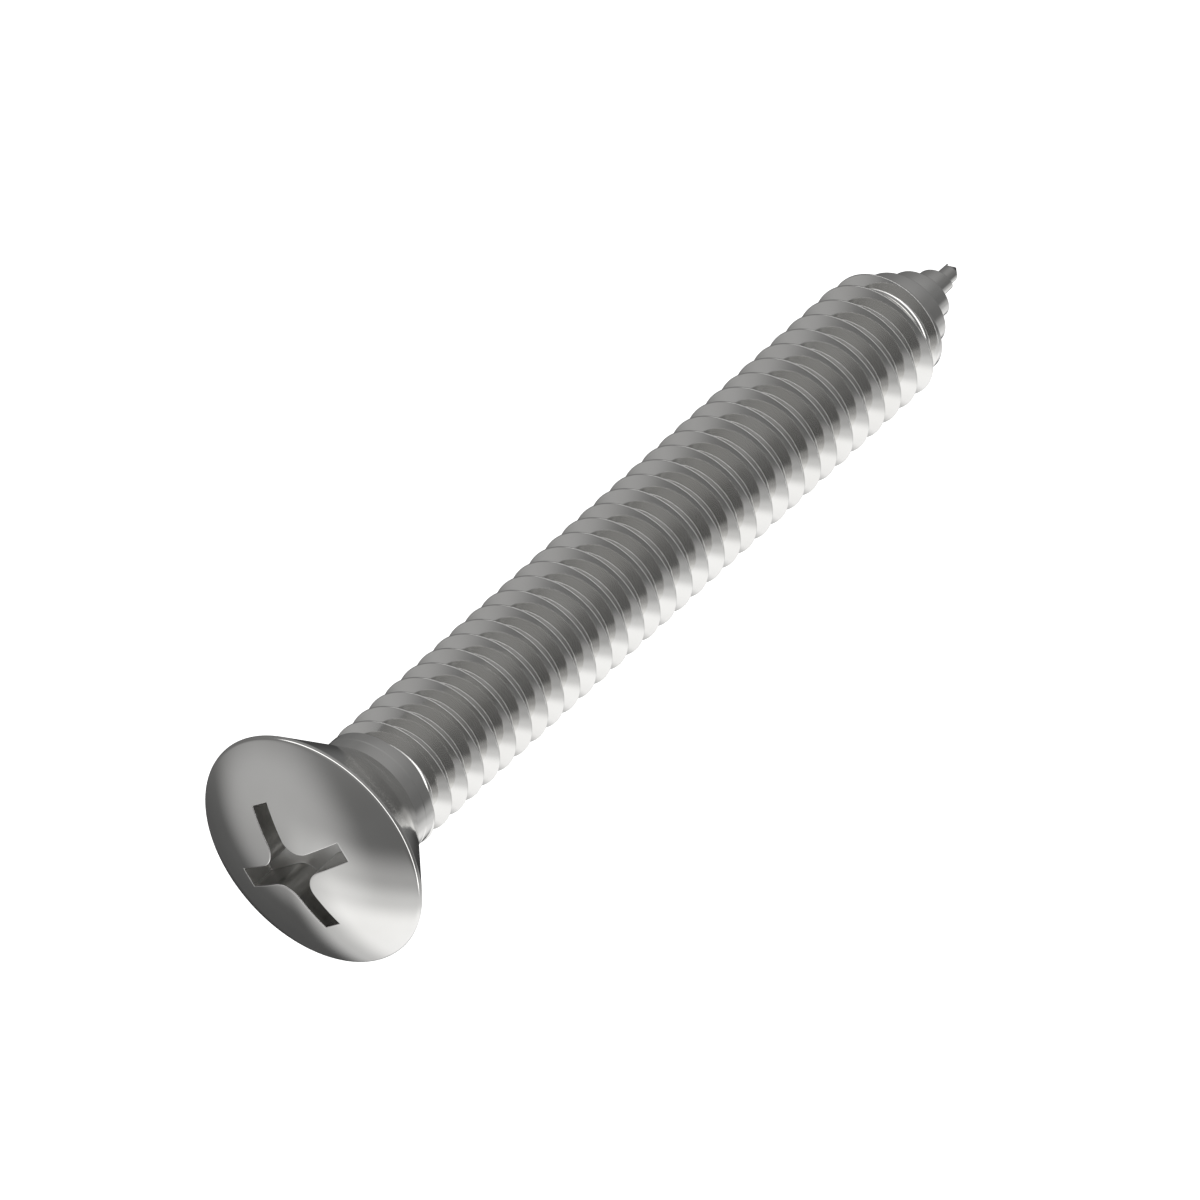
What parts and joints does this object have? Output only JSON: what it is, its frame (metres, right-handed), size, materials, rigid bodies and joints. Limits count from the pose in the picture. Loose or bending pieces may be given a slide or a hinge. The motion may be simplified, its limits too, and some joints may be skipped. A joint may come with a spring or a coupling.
{
  "type": "wood screw",
  "caption": "Raised countersunk wood screw with a cross recess, a plain neck and a fine right-hand thread that runs on to a sharp point.",
  "frame": {"origin": "centre of the head's widest circle, which lies flush with the surface that the screw is driven into", "axes": "+Z out of the head along the screw's axis, towards the driver; the point is at -Z; the recess's wings lie along X and Y"},
  "size_m": [0.0096, 0.0096, 0.0415],
  "materials": {
    "steel": "polished stainless steel"
  },
  "bodies": {
    "root": {"head": "steel", "neck": "steel", "shank": "steel", "thread": "steel", "point": "steel"}
  },
  "joints": []
}
